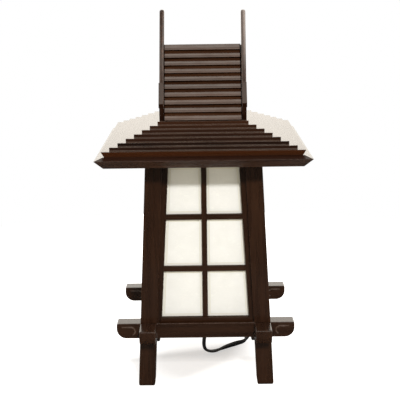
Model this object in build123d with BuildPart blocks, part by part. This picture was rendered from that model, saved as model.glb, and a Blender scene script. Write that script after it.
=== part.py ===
"""Andon lantern: four leaning posts on a crossed base frame, papered lattice sides and a lift-off shrine roof.

Frame: origin on the floor under the lantern's axis, +Z up, front towards -Y. Millimetres.
"""

import os
from math import asin, cos, hypot, pi, radians, sin, tan

from build123d import *

os.makedirs("parts", exist_ok=True)

# ---------------------------------------------------------------- driving dimensions

# Crossed base frame
bar_length = 200.0
bar_width = 17.8
bar_height = 17.5
bar_underside = 56.7  # floor to the underside of the four bars
nose_round = 11.0  # large quarter round under each bar end
nose_ease = 1.8  # small round above each bar end
bar_arris = 0.6  # softened long edges
lap_gap = 0.05  # play in the halving joints

# Carved hook on both cheeks of every bar end
hook_from_end = 6.0  # bar end to the start of the carved line
hook_drop = 4.1  # top of the bar to the straight stretch
hook_run = 10.0  # length of the straight stretch
hook_radius = 4.7
hook_turn = 155.0  # degrees of the round stretch
hook_width = 1.0
hook_depth = 0.5

# Posts and feet
foot_reach = 76.7  # lantern's axis to the outer face of a post, at the floor
lean = 0.0501  # inward lean per unit of height
post_width = 18.6
post_top = 262.0
post_arris = 0.9
foot_chamfer = 0.8
dowel_radius = 4.0
dowel_ease = 0.7
dowel_bite = 14.0  # length of dowel in the post and in the foot
dowel_gap = 0.05

# Lattice panels
frame_recess = 6.0  # panel frame behind the posts' outer faces
frame_depth = 6.0
stile_foot_width = 5.1
stile_head_width = 6.7
top_rail_height = 12.8
bottom_rail_height = 4.1
muntin_width = 5.8
muntin_depth = 3.5
muntin_rows = 2
paper_thickness = 0.8
panel_gap = 0.05

# Floor of the lamp chamber
board_drop = 1.5  # top of the board below the tops of the bars
board_thickness = 6.0
board_gap = 0.1
cable_hole_radius = 4.0
batten_size = 8.0

# Lamp holder
flange_radius = 25.5
flange_height = 5.0
flange_ease = 1.0
cup_radius = 16.6
cup_height = 34.0
cup_floor = 6.0
cup_heel = 3.0  # chamfer under the cup
cup_lip = 1.0  # chamfer round its mouth
shell_radius = 13.6  # outside of the screw shell
shell_wall = 0.4
shell_height = 25.0
shell_seat = 1.0
screw_radius = 1.6
screw_gap = 0.05
screw_head_radius = 3.2
screw_head_height = 1.6
screw_head_ease = 0.8
screw_slot = 0.8
screw_length = 9.0
flange_screw_reach = 21.2
board_screw_inset = 14.0

# Bulb
bulb_play = 0.3  # cap in its shell, all round and below
bulb_cap_height = 24.0
bulb_cap_heel = 4.0
bulb_contact_radius = 5.0
bulb_neck_height = 16.0
bulb_radius = 27.5
bulb_neck_angle = 42.0  # degrees below the globe's equator where the neck begins

# Roof, from the eave up
seat_gap = 0.2  # soffit above the post tops
soffit_thickness = 4.0
soffit_inner = 44.0
cleat_height = 6.0
cleat_width = 6.0
cleat_ease = 0.75
cleat_gap = 0.5  # cleats inside the paper
cleat_half_length = 40.0
fascia_drop = 3.9  # foot of the fascia below the soffit
fascia_height = 12.0
fascia_tip_drop = 2.9  # tip of the eave below the fascia's head
fascia_foot_setback = 8.9  # fascia's foot inside its tip
fascia_head_setback = 8.3  # fascia's head inside its tip
fascia_foot_width = 7.2
eave_overhang = 7.1  # fascia's tip beyond the eave board
eave_board_thickness = 5.9
eave_board_undercut = 3.0
eave_board_width = 20.0
deck_reach = 49.81  # top step, on which the gable stands
step_count = 7  # thin boards above the eave board
step_in = 8.17
step_rise = 3.27
step_width = 18.0

# Upper gable
gable_pitch = 60.0  # degrees, the slope on which the slats' lips lie
gable_setback = 0.4  # foot of the slats inside the top step
gable_end_setback = 6.91  # ends of the slats inside the top step
slat_pitch = 9.4
slat_thickness = 3.0
slat_gap = 0.02  # between one slat and the next
slat_overlap = 3.4
ridge_slat_face = 8.65  # ridge to the lip of the first slat
ridge_gap = 0.05  # slats to the middle plane
ridge_batten = 5.0
gable_end_thickness = 3.0
barge_thickness = 5.0
barge_depth = 9.0
barge_proud = 1.0  # bargeboards above the slats' lips
barge_gap = 0.1
barge_seat = 2.4  # plumb cut in front of the bargeboard's inner edge
horn_rise = 37.0  # horn tips above the ridge
horn_ease = 0.8
block_thickness = 2.2
block_length = 25.4
block_shift = 0.6  # blocks outside the bargeboards

# Mains lead
cord_radius = 2.8
bend_share = 0.45  # share of the shorter run that a bend takes up
relief_collar_radius = 6.5
relief_collar_height = 2.0
relief_root_radius = 5.2
relief_tip_radius = 3.5
relief_length = 22.0
relief_gap = 0.1
coil_centre = (-16.0, 126.0)
coil_radius = 38.0  # middle of the turns
coil_columns = 3
coil_layers = 2
coil_corner = 1.8

# In-line switch
switch_x = 50.0
switch_start = 86.0
switch_length = 56.0
switch_width = 22.0
switch_height = 16.0
switch_split = 7.5  # joint between its halves, and middle of the cord
switch_corner = 7.5
switch_ease = 2.2
switch_foot_ease = 1.1
rocker_length = 15.0
rocker_width = 8.0
rocker_gap = 0.4
rocker_tilt = 8.0  # degrees either way
rocker_axle_drop = 2.2  # axle below the top of the cover
rocker_body = 3.0  # depth of the rocker below its axle
rocker_crown = 2.4  # rocker's middle above its axle
axle_radius = 1.2
axle_length = 1.5
axle_gap = 0.05

# Plug
plug_seat = 0.05  # plug above the coil
plug_length = 26.0
plug_width = 19.0
plug_neck = 10.0
plug_height = 12.0
plug_shoulder = 9.0  # straight stretch behind the pin face
plug_round = 2.0
pin_pitch = 12.7
pin_width = 6.3
pin_thickness = 1.5
pin_length = 16.0
pin_root = 4.0  # length of the pins inside the plug
pin_ease = 0.4
pin_gap = 0.05

# ---------------------------------------------------------------- derived sizes

bar_top = bar_underside + bar_height
bar_axis = foot_reach - lean * (bar_underside + bar_height / 2) - post_width / 2
bar_inner = bar_axis - bar_width / 2
board_top = bar_top - board_drop
board_bottom = board_top - board_thickness
board_half = bar_inner - board_gap
relief_tip = board_bottom - relief_length
slope_factor = hypot(1, lean)
paper_recess = frame_recess + frame_depth

soffit_bottom = post_top + seat_gap
soffit_top = soffit_bottom + soffit_thickness
fascia_bottom = soffit_bottom - fascia_drop
fascia_top = fascia_bottom + fascia_height
eave_board_reach = deck_reach + step_count * step_in
fascia_tip_reach = eave_board_reach + eave_overhang
fascia_foot_reach = fascia_tip_reach - fascia_foot_setback
fascia_head_reach = fascia_tip_reach - fascia_head_setback
fascia_inner = fascia_foot_reach - fascia_foot_width
eave_board_top = fascia_top + eave_board_thickness
deck = eave_board_top + step_count * step_rise
slat_half_length = deck_reach - gable_end_setback

coil_half_width = coil_columns * cord_radius
coil_top = 2 * coil_layers * cord_radius

SIDES = {"front": 0, "right": 90, "rear": 180, "left": 270}
CORNERS = {"front_left": (-1, -1), "front_right": (1, -1), "rear_left": (-1, 1), "rear_right": (1, 1)}


# ---------------------------------------------------------------- helpers


def reach(height):
    """Distance from the lantern's axis to the outer faces of the posts at a height."""
    return foot_reach - lean * height


def save(piece, name):
    """Label a finished piece and write its STEP file."""
    piece.label = name
    export_step(piece, f"parts/{name}.step")


def group(builders):
    """Separate solids that share one node."""
    return Compound([builder.part.solid() for builder in builders])


def turned(vector, turn):
    return Vector(*vector).rotate(Axis.Z, turn)


def face_plane(turn, recess):
    """Leaning plane of one side, `recess` behind the posts' outer faces; u to the right, v up the lean."""
    origin = turned((0, recess - foot_reach, 0), turn)
    return Plane(origin=origin, x_dir=turned((1, 0, 0), turn), z_dir=turned((0, -1, lean), turn))


def section_plane(turn):
    """Upright plane through the axis, square to one side: u is the reach outward, v the height."""
    outward = turned((0, -1, 0), turn)
    return Plane(origin=(0, 0, 0), x_dir=outward, z_dir=outward.cross(Vector(0, 0, 1)))


def mitred_board(turn, profile):
    """One side of a square ring: a section of (reach, height) points, mitred at both ends."""
    span = 2 * max(point[0] for point in profile)
    with BuildPart() as board:
        with BuildSketch(section_plane(turn)):
            Polygon(*profile, align=None)
        extrude(amount=span, both=True)
        with BuildSketch(Plane(origin=(0, 0, 0), x_dir=turned((1, 0, 0), turn), z_dir=(0, 0, 1))):
            Polygon((0, 0), (-span, -span), (span, -span), align=None)
        extrude(amount=2 * deck, mode=Mode.INTERSECT)
    return board


def box_profile(inner, outer, low, high):
    return [(inner, low), (outer, low), (outer, high), (inner, high)]


# ---------------------------------------------------------------- crossed base frame


def base_bar(along, side, notch_side):
    """Bar along X or Y with rounded noses, carved hooks and halving notches below (-1) or above (1)."""
    x_dir = Vector(1, 0, 0) if along == "x" else Vector(0, 1, 0)
    across = Vector(0, 1, 0) if along == "x" else Vector(1, 0, 0)
    origin = across * side * bar_axis + Vector(0, 0, bar_underside + bar_height / 2)
    side_view = Plane(origin=origin, x_dir=x_dir, z_dir=x_dir.cross(Vector(0, 0, 1)))
    notch_height = bar_height / 2 + lap_gap
    notch_level = notch_side * (bar_height - notch_height) / 2
    hook_start = bar_length / 2 - hook_from_end
    hook_bend = hook_start - hook_run
    hook_level = bar_height / 2 - hook_drop
    with BuildPart() as bar:
        with BuildSketch(side_view):
            Rectangle(bar_length, bar_height)
        extrude(amount=bar_width / 2, both=True)
        noses = bar.edges().filter_by(Axis(side_view.origin, side_view.z_dir)).group_by(Axis.Z)
        fillet(noses[0], nose_round)
        noses = bar.edges().filter_by(Axis(side_view.origin, side_view.z_dir)).group_by(Axis.Z)
        fillet(noses[-1], nose_ease)
        fillet(bar.faces().filter_by(side_view).edges(), bar_arris)
        with BuildSketch(side_view):
            with Locations((-bar_axis, notch_level), (bar_axis, notch_level)):
                Rectangle(bar_width + 2 * lap_gap, notch_height)
        extrude(amount=bar_width, both=True, mode=Mode.SUBTRACT)
        for cheek in (1, -1):
            with BuildSketch(side_view.offset(cheek * (bar_width / 2 - hook_depth))):
                for end in (1, -1):
                    with BuildLine():
                        Line((end * hook_start, hook_level), (end * hook_bend, hook_level))
                        JernArc((end * hook_bend, hook_level), (-end, 0), hook_radius, end * hook_turn)
                    trace(line_width=hook_width)
            extrude(amount=cheek * 2 * hook_depth, mode=Mode.SUBTRACT)
        with Locations(*[(x * bar_axis, y * bar_axis, origin.Z) for x, y in CORNERS.values()]):
            Cylinder(dowel_radius + dowel_gap, 2 * bar_height, mode=Mode.SUBTRACT)
    return bar


def leaning_timber(corner, low, high, dowel_level):
    """Square timber that follows the lean at one corner, bored for its dowel at one end."""
    with BuildPart() as timber:
        for level in (low, high):
            middle = reach(level) - post_width / 2
            with BuildSketch(Plane((corner[0] * middle, corner[1] * middle, level))):
                Rectangle(post_width, post_width)
        loft(ruled=True)
        if low == 0:
            chamfer(timber.faces().sort_by(Axis.Z)[0].edges(), foot_chamfer)
        rising = timber.edges().filter_by(lambda edge: edge.length > post_width and edge.tangent_at(0).Z > lean)
        fillet(rising, post_arris)
        with Locations((corner[0] * bar_axis, corner[1] * bar_axis, dowel_level)):
            Cylinder(dowel_radius + dowel_gap, 2 * dowel_bite, mode=Mode.SUBTRACT)
    return timber


save(base_bar("x", -1, -1).part, "bar_front")
save(base_bar("x", 1, -1).part, "bar_rear")
save(base_bar("y", -1, 1).part, "bar_left")
save(base_bar("y", 1, 1).part, "bar_right")

for corner_name, corner in CORNERS.items():
    save(leaning_timber(corner, bar_top, post_top, bar_top).part, f"post_{corner_name}")
    save(leaning_timber(corner, 0, bar_underside, bar_underside).part, f"foot_{corner_name}")

dowels = []
for corner in CORNERS.values():
    with BuildPart() as dowel:
        with Locations((corner[0] * bar_axis, corner[1] * bar_axis, bar_underside + bar_height / 2)):
            Cylinder(dowel_radius, bar_height + 2 * dowel_bite - 2 * dowel_gap)
        chamfer(dowel.edges().filter_by(GeomType.CIRCLE), dowel_ease)
    dowels.append(dowel)
save(group(dowels), "post_dowels")

# ---------------------------------------------------------------- lattice panels

panel_low = bar_top + panel_gap
rail_head = panel_low + bottom_rail_height
rail_soffit = post_top - top_rail_height
pane_height = (rail_soffit - rail_head - muntin_rows * muntin_width) / (muntin_rows + 1)
muntin_levels = [rail_head + (row + 1) * pane_height + (row + 0.5) * muntin_width for row in range(muntin_rows)]
muntin_recess = paper_recess - muntin_depth


def bay_half(height):
    """Half the clear width between two posts."""
    return reach(height) - post_width - panel_gap


def opening_half(height):
    """Half the width between the stiles, which widen towards the top."""
    share = (height - bar_top) / (post_top - bar_top)
    stile_width = stile_foot_width + share * (stile_head_width - stile_foot_width)
    return bay_half(height) - stile_width


def rail_half(height):
    return opening_half(height) - panel_gap


def muntin_half(_height):
    return muntin_width / 2


def lap_half(_height):
    return muntin_width / 2 + lap_gap


def band(half_width, low, high):
    """Outline between two heights whose half width is a function of height."""
    return [
        (-half_width(low), low),
        (half_width(low), low),
        (half_width(high), high),
        (-half_width(high), high),
    ]


def face_outline(outline):
    """(across, height) points as a polygon on a leaning face plane."""
    return Polygon(*[(across, height * slope_factor) for across, height in outline], align=None)


def panel_piece(turn, recess, depth, outline):
    """Piece of a side panel, extruded level into the lantern."""
    with BuildPart() as piece:
        with BuildSketch(face_plane(turn, recess)):
            face_outline(outline)
        extrude(amount=depth, dir=turned((0, 1, 0), turn))
    return piece


def stile(turn, side):
    outline = [
        (side * bay_half(panel_low), panel_low),
        (side * bay_half(post_top), post_top),
        (side * opening_half(post_top), post_top),
        (side * opening_half(panel_low), panel_low),
    ]
    return panel_piece(turn, frame_recess, frame_depth, outline)


def upright_muntin(turn):
    """Middle upright, halved at the back where the cross muntins pass."""
    inward = turned((0, 1, 0), turn)
    with BuildPart() as upright:
        with BuildSketch(face_plane(turn, muntin_recess)):
            face_outline(band(muntin_half, rail_head, rail_soffit))
        extrude(amount=muntin_depth, dir=inward)
        with BuildSketch(face_plane(turn, muntin_recess + muntin_depth / 2)):
            for level in muntin_levels:
                face_outline(band(lap_half, level - lap_half(level), level + lap_half(level)))
        extrude(amount=muntin_depth, dir=inward, mode=Mode.SUBTRACT)
    return upright


def cross_muntin(turn, level):
    """Cross muntin from stile to stile, halved in front where the upright passes."""
    inward = turned((0, 1, 0), turn)
    with BuildPart() as cross_bar:
        with BuildSketch(face_plane(turn, muntin_recess)):
            face_outline(band(rail_half, level - muntin_width / 2, level + muntin_width / 2))
        extrude(amount=muntin_depth, dir=inward)
        with BuildSketch(face_plane(turn, muntin_recess + muntin_depth / 2 + lap_gap)):
            face_outline(band(lap_half, level - muntin_width, level + muntin_width))
        extrude(amount=muntin_depth, dir=-inward, mode=Mode.SUBTRACT)
    return cross_bar


for side_name, turn in SIDES.items():
    bottom_rail = panel_piece(turn, frame_recess, frame_depth, band(rail_half, panel_low, rail_head))
    top_rail = panel_piece(turn, frame_recess, frame_depth, band(rail_half, rail_soffit, post_top))
    paper = panel_piece(turn, paper_recess, paper_thickness, band(bay_half, panel_low, post_top))
    muntins = [upright_muntin(turn)] + [cross_muntin(turn, level) for level in muntin_levels]
    save(group([stile(turn, -1), stile(turn, 1)]), f"{side_name}_stiles")
    save(group([bottom_rail, top_rail]), f"{side_name}_rails")
    save(group(muntins), f"{side_name}_muntins")
    save(paper.part, f"{side_name}_paper")

# ---------------------------------------------------------------- floor of the lamp chamber

batten_x = bar_inner - batten_size / 2
board_screws = [(x * batten_x, y * (board_half - board_screw_inset)) for x, y in CORNERS.values()]
flange_screws = [(-flange_screw_reach, 0), (flange_screw_reach, 0)]

battens = []
for side in (-1, 1):
    with BuildPart() as batten:
        with Locations((side * batten_x, 0, board_bottom - batten_size / 2)):
            Box(batten_size, 2 * board_half, batten_size)
        with Locations(*[(x, y, board_top) for x, y in board_screws if x * side > 0]):
            Cylinder(screw_radius + screw_gap, 2 * (screw_length + screw_gap), mode=Mode.SUBTRACT)
    battens.append(batten)
save(group(battens), "battens")

with BuildPart() as base_board:
    with BuildSketch(Plane.XY.offset(board_bottom)):
        Rectangle(2 * board_half, 2 * board_half)
        Circle(cable_hole_radius, mode=Mode.SUBTRACT)
        with Locations(*board_screws, *flange_screws):
            Circle(screw_radius + screw_gap, mode=Mode.SUBTRACT)
    extrude(amount=board_thickness)
save(base_board.part, "base_board")

# ---------------------------------------------------------------- lamp holder and bulb

flange_top = board_top + flange_height
cup_top = flange_top + cup_height
bore_floor = flange_top + cup_floor
shell_bottom = bore_floor + shell_seat
cap_radius = shell_radius - shell_wall - bulb_play
cap_bottom = shell_bottom + bulb_play
cap_top = cap_bottom + bulb_cap_height
globe_centre = cap_top + bulb_neck_height + bulb_radius

with BuildPart() as holder_flange:
    with BuildSketch(Plane.XY.offset(board_top)):
        Circle(flange_radius)
        Circle(cable_hole_radius, mode=Mode.SUBTRACT)
        with Locations(*flange_screws):
            Circle(screw_radius + screw_gap, mode=Mode.SUBTRACT)
    extrude(amount=flange_height)
    rim = holder_flange.edges().filter_by(GeomType.CIRCLE).group_by(Axis.Z)[-1].sort_by(SortBy.RADIUS)[-1]
    fillet(rim, flange_ease)
save(holder_flange.part, "holder_flange")

with BuildPart() as holder_cup:
    with BuildSketch(Plane.XZ):
        Polygon(
            (cable_hole_radius, flange_top),
            (cup_radius - cup_heel, flange_top),
            (cup_radius, flange_top + cup_heel),
            (cup_radius, cup_top - cup_lip),
            (cup_radius - cup_lip, cup_top),
            (shell_radius, cup_top),
            (shell_radius, bore_floor),
            (cable_hole_radius, bore_floor),
            align=None,
        )
    revolve(axis=Axis.Z)
save(holder_cup.part, "holder_cup")

with BuildPart() as screw_shell:
    with BuildSketch(Plane.XY.offset(bore_floor)):
        Circle(shell_radius)
        Circle(cable_hole_radius, mode=Mode.SUBTRACT)
    extrude(amount=shell_seat)
    with BuildSketch(Plane.XY.offset(shell_bottom)):
        Circle(shell_radius)
        Circle(shell_radius - shell_wall, mode=Mode.SUBTRACT)
    extrude(amount=shell_height)
save(screw_shell.part, "screw_shell")

with BuildPart() as bulb_cap:
    with BuildSketch(Plane.XZ):
        Polygon(
            (0, cap_bottom),
            (bulb_contact_radius, cap_bottom),
            (cap_radius, cap_bottom + bulb_cap_heel),
            (cap_radius, cap_top),
            (0, cap_top),
            align=None,
        )
    revolve(axis=Axis.Z)
save(bulb_cap.part, "bulb_cap")

neck_angle = radians(bulb_neck_angle)
neck_end = (bulb_radius * cos(neck_angle), globe_centre - bulb_radius * sin(neck_angle))
with BuildPart() as bulb_glass:
    with BuildSketch(Plane.XZ):
        with BuildLine():
            Line((0, cap_top), (cap_radius, cap_top))
            Spline((cap_radius, cap_top), neck_end, tangents=[(0, 1), (sin(neck_angle), cos(neck_angle))])
            ThreePointArc(neck_end, (bulb_radius, globe_centre), (0, globe_centre + bulb_radius))
            Line((0, globe_centre + bulb_radius), (0, cap_top))
        make_face()
    revolve(axis=Axis.Z)
save(bulb_glass.part, "bulb_glass")


def wood_screw(x, y, seat):
    """Slotted screw whose head rests at `seat`."""
    with BuildPart() as screw:
        with Locations((x, y, seat - screw_length / 2)):
            Cylinder(screw_radius, screw_length)
        with BuildSketch(Plane((x, y, seat))):
            Circle(screw_head_radius)
        extrude(amount=screw_head_height)
        chamfer(screw.edges().filter_by(GeomType.CIRCLE).group_by(Axis.Z)[-1], screw_head_ease)
        with Locations((x, y, seat + screw_head_height)):
            Box(2 * screw_head_radius, screw_slot, screw_slot, mode=Mode.SUBTRACT)
    return screw


screws = [wood_screw(x, y, board_top) for x, y in board_screws]
screws += [wood_screw(x, y, flange_top) for x, y in flange_screws]
save(group(screws), "wood_screws")

# ---------------------------------------------------------------- eaves and stepped skirt of the roof

fascia_profile = [
    (fascia_inner, fascia_bottom),
    (fascia_foot_reach, fascia_bottom),
    (fascia_tip_reach, fascia_top - fascia_tip_drop),
    (fascia_head_reach, fascia_top),
    (fascia_inner, fascia_top),
]
eave_board_profile = [
    (eave_board_reach - eave_board_width, fascia_top),
    (eave_board_reach - eave_board_undercut, fascia_top),
    (eave_board_reach, eave_board_top),
    (eave_board_reach - eave_board_width, eave_board_top),
]
soffit_profile = box_profile(soffit_inner, fascia_inner, soffit_bottom, soffit_top)
step_profiles = []
for step in range(step_count):
    step_reach = eave_board_reach - (step + 1) * step_in
    step_low = eave_board_top + step * step_rise
    step_profiles.append(box_profile(step_reach - step_width, step_reach, step_low, step_low + step_rise))

save(group([mitred_board(turn, fascia_profile) for turn in SIDES.values()]), "fascia_boards")
save(group([mitred_board(turn, soffit_profile) for turn in SIDES.values()]), "soffit_boards")
for side_name, turn in SIDES.items():
    boards = [mitred_board(turn, profile) for profile in [eave_board_profile, *step_profiles]]
    save(group(boards), f"skirt_{side_name}")

cleat_outer = reach(post_top) - paper_recess - paper_thickness - cleat_gap
cleat_profile = box_profile(cleat_outer - cleat_width, cleat_outer, soffit_bottom - cleat_height, soffit_bottom)
cleats = []
for turn in SIDES.values():
    with BuildPart() as cleat:
        with BuildSketch(section_plane(turn)):
            Polygon(*cleat_profile, align=None)
        extrude(amount=cleat_half_length, both=True)
        chamfer(cleat.faces().sort_by(Axis.Z)[0].edges(), cleat_ease)
    cleats.append(cleat)
save(group(cleats), "roof_cleats")

# ---------------------------------------------------------------- upper gable

pitch = radians(gable_pitch)
slat_tilt = asin((slat_thickness + slat_gap) / slat_pitch)
lip_reach = deck_reach - gable_setback
apex = deck + lip_reach * tan(pitch)  # where the planes of the front and rear lips meet
ridge = apex - ridge_slat_face * sin(slat_tilt) / cos(pitch)
first_lip = ridge_slat_face * cos(pitch - slat_tilt) / cos(pitch)
slat_total = 2 + int(((apex - deck) / sin(pitch) - first_lip) / slat_pitch)
slat_board = slat_pitch / cos(slat_tilt) + slat_overlap
slat_bed = slat_board * sin(slat_tilt) + slat_thickness * cos(slat_tilt) + slat_gap


def gable_plane(side, middle_x):
    """Upright section of the gable at an X; u runs outward down the front (-1) or rear (1) slope."""
    outward = Vector(0, side, 0)
    return Plane(origin=(middle_x, 0, 0), x_dir=outward, z_dir=outward.cross(Vector(0, 0, 1)))


def on_slope(distance, proud):
    """(reach, height) at a distance down the slope from the apex, `proud` of the plane of the lips."""
    across = distance * cos(pitch) + proud * sin(pitch)
    return (across, apex - distance * sin(pitch) + proud * cos(pitch))


def slope_reach(height, proud):
    """Reach at which a plane parallel to the slope has a height."""
    return (apex + proud / cos(pitch) - height) / tan(pitch)


def slope_height(across, proud):
    """Height that a plane parallel to the slope has at a reach."""
    return apex + proud / cos(pitch) - across * tan(pitch)


def slab(side, middle_x, thickness, outline):
    """Outline in the gable's section, extruded either way from a middle X."""
    with BuildPart() as piece:
        with BuildSketch(gable_plane(side, middle_x)):
            Polygon(*outline, align=None)
        extrude(amount=thickness / 2, both=True)
    return piece


def slat(side, lip):
    """Lapped slat: its lip lies on the slope, its head tucks under the slat above and it stops at the deck."""
    run = slat_board * cos(slat_tilt)
    sink = slat_board * sin(slat_tilt)
    back_run = slat_thickness * sin(slat_tilt)
    back_sink = slat_thickness * cos(slat_tilt)
    with BuildPart() as piece:
        with BuildSketch(gable_plane(side, 0)):
            Polygon(
                on_slope(lip, 0),
                on_slope(lip - run, -sink),
                on_slope(lip - run - back_run, -sink - back_sink),
                on_slope(lip - back_run, -back_sink),
                align=None,
            )
            Polygon(*box_profile(ridge_gap, 2 * lip_reach, deck, apex), align=None, mode=Mode.INTERSECT)
        extrude(amount=slat_half_length, both=True)
    return piece


for side_name, side in (("front", -1), ("rear", 1)):
    save(group([slat(side, first_lip + index * slat_pitch) for index in range(slat_total)]), f"{side_name}_slats")

end_x = slat_half_length - gable_end_thickness / 2
end_reach = slope_reach(deck, -slat_bed)
end_apex = slope_height(0, -slat_bed)
end_outline = [(-end_reach, deck), (end_reach, deck), (0, end_apex)]
save(group([slab(-1, x * end_x, gable_end_thickness, end_outline) for x in (-1, 1)]), "gable_ends")

batten_top = slope_height(ridge_batten / 2, -slat_bed)
batten_outline = box_profile(-ridge_batten / 2, ridge_batten / 2, batten_top - ridge_batten, batten_top)
batten_span = 2 * (slat_half_length - gable_end_thickness)
save(slab(-1, 0, batten_span, batten_outline).part, "ridge_batten")

barge_x = slat_half_length + barge_gap + barge_thickness / 2
barge_under = barge_proud - barge_depth
plumb_reach = slope_reach(deck, barge_under) + barge_seat
plumb_head = slope_height(plumb_reach, barge_proud)
horn_tip = ridge + horn_rise


def front_bargeboard(side_x):
    """Board up the front slope, plumb at its foot, that runs past the ridge as a horn with a level tip."""
    outline = [
        (plumb_reach, deck),
        (plumb_reach, plumb_head),
        (slope_reach(horn_tip, barge_proud), horn_tip),
        (slope_reach(horn_tip, barge_under), horn_tip),
        (slope_reach(deck, barge_under), deck),
    ]
    with BuildPart() as board:
        with BuildSketch(gable_plane(-1, side_x * barge_x)):
            Polygon(*outline, align=None)
        extrude(amount=barge_thickness / 2, both=True)
        fillet(board.faces().sort_by(Axis.Z)[-1].edges(), horn_ease)
    return board


def rear_bargeboard(side_x):
    """Board up the rear slope, cut to butt under the front one."""
    outer_apex = slope_height(0, barge_proud)
    inner_apex = slope_height(0, barge_under)
    outline = [
        (plumb_reach, deck),
        (plumb_reach, plumb_head),
        ((outer_apex - inner_apex) / (2 * tan(pitch)), (outer_apex + inner_apex) / 2),
        (0, inner_apex),
        (slope_reach(deck, barge_under), deck),
    ]
    return slab(1, side_x * barge_x, barge_thickness, outline)


def eave_block(side_x, side):
    """Block planted on the foot of a bargeboard, plumb in line with it and cut square at its head."""
    brow_height = slope_height(plumb_reach, barge_proud + block_thickness)
    head = (plumb_reach - block_length * cos(pitch), brow_height + block_length * sin(pitch))
    outline = [
        (plumb_reach, plumb_head),
        (plumb_reach, brow_height),
        head,
        (head[0] - block_thickness * sin(pitch), head[1] - block_thickness * cos(pitch)),
    ]
    return slab(side, side_x * (barge_x + block_shift), barge_thickness, outline)


save(group([front_bargeboard(-1), front_bargeboard(1)]), "front_bargeboards")
save(group([rear_bargeboard(-1), rear_bargeboard(1)]), "rear_bargeboards")
save(group([eave_block(x, side) for x, side in CORNERS.values()]), "eave_blocks")

# ---------------------------------------------------------------- mains lead

with BuildPart() as cord_relief:
    with BuildSketch(Plane.XZ):
        Polygon(
            (0, relief_tip),
            (relief_tip_radius, relief_tip),
            (relief_root_radius, board_bottom - relief_collar_height),
            (relief_collar_radius, board_bottom - relief_collar_height),
            (relief_collar_radius, board_bottom),
            (cable_hole_radius - relief_gap, board_bottom),
            (cable_hole_radius - relief_gap, board_top),
            (0, board_top),
            align=None,
        )
    revolve(axis=Axis.Z)
save(cord_relief.part, "cord_relief")

switch_end = switch_start + switch_length
lead_route = [
    (0, 0, relief_tip),
    (0, 0, 35.6),
    (-2.1, 3, 25.2),
    (-2.3, 6, 14.3),
    (0.8, 10, 8.1),
    (10, 18.8, 4.5),
    (25.2, 32.8, 3),
    (40.7, 44.6, 3),
    (48.3, 51, 3),
    (52, 60.5, 3),
    (51.7, 69, 4.2),
    (switch_x, 77.2, switch_split),
    (switch_x, switch_start, switch_split),
]
feed_route = [
    (switch_x, switch_end, switch_split),
    (switch_x, 150.3, switch_split),
    (46.3, 159.1, 5.6),
    (39.6, 165.8, 3.9),
    (30.8, 169.3, 3),
    (15, 170.2, 3),
    (-3, 169.8, 3),
    (-18, 168.8, 3),
]
plug_x = -52.7
plug_back = 123.5
plug_level = coil_top + plug_seat + plug_height / 2
tail_route = [
    (6, 158, 9),
    (-5.5, 163.2, 11.6),
    (-18.5, 164.6, 14.3),
    (-31, 161.8, 15.4),
    (-42, 154.5, 16.4),
    (-49.8, 144, 17),
    (plug_x, 133, plug_level),
    (plug_x, plug_back, plug_level),
]


def corner_radii(route):
    """At each corner, a share of the shorter run over the tangent of half the turn."""
    runs = [Vector(*end) - Vector(*start) for start, end in zip(route, route[1:])]
    radii = []
    for before, after in zip(runs, runs[1:]):
        half_turn = radians(before.get_angle(after) / 2)
        radii.append(bend_share * min(before.length, after.length) / tan(half_turn))
    return radii


def cord_tube(route):
    """Round cord along straight runs joined by tangent arcs."""
    radii = corner_radii(route)
    with BuildPart() as tube:
        with BuildLine() as path:
            FilletPolyline(*route, radius=radii)
        centre_line = path.wire()
        with BuildSketch(Plane(origin=centre_line @ 0, z_dir=centre_line % 0)):
            Circle(cord_radius)
        sweep(path=centre_line)
    section_times_length = pi * cord_radius**2 * centre_line.length
    print("cord radii", [round(radius, 1) for radius in radii])
    print("length", round(centre_line.length, 1), "volume ratio", tube.part.volume / section_times_length)
    return tube


save(group([cord_tube(route) for route in (lead_route, feed_route, tail_route)]), "cord")

with BuildPart() as cord_coil:
    with BuildSketch(Plane.XZ.offset(-coil_centre[1])):
        with Locations((coil_centre[0] + coil_radius, coil_top / 2)):
            chamfer(Rectangle(2 * coil_half_width, coil_top).vertices(), coil_corner)
    revolve(axis=Axis((coil_centre[0], coil_centre[1], 0), (0, 0, 1)))
save(cord_coil.part, "cord_coil")

# ---------------------------------------------------------------- in-line switch

switch_middle = switch_start + switch_length / 2
axle_level = switch_height - rocker_axle_drop
well_length = rocker_length + 2 * rocker_gap
well_width = rocker_width + 2 * rocker_gap
well_floor = axle_level - rocker_length / 2 * sin(radians(2 * rocker_tilt)) - rocker_body - rocker_gap


def switch_plan(level):
    return Plane((switch_x, switch_middle, level))


with BuildPart() as switch_base:
    with BuildSketch(switch_plan(0)):
        RectangleRounded(switch_width, switch_length, switch_corner)
    extrude(amount=switch_split)
    chamfer(switch_base.faces().sort_by(Axis.Z)[0].edges(), switch_foot_ease)
    with BuildSketch(switch_plan(switch_split)):
        Rectangle(well_width, well_length)
    extrude(amount=min(well_floor, switch_split - switch_ease) - switch_split, mode=Mode.SUBTRACT)
save(switch_base.part, "switch_base")

with BuildPart() as switch_cover:
    with BuildSketch(switch_plan(switch_split)):
        RectangleRounded(switch_width, switch_length, switch_corner)
    extrude(amount=switch_height - switch_split)
    fillet(switch_cover.faces().sort_by(Axis.Z)[-1].edges(), switch_ease)
    with BuildSketch(switch_plan(switch_split)):
        Rectangle(well_width, well_length)
    extrude(amount=switch_height, mode=Mode.SUBTRACT)
    with Locations(Plane((switch_x, switch_middle, axle_level), z_dir=(1, 0, 0))):
        Cylinder(axle_radius + axle_gap, rocker_width + 2 * (axle_length + axle_gap), mode=Mode.SUBTRACT)
save(switch_cover.part, "switch_cover")

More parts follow.
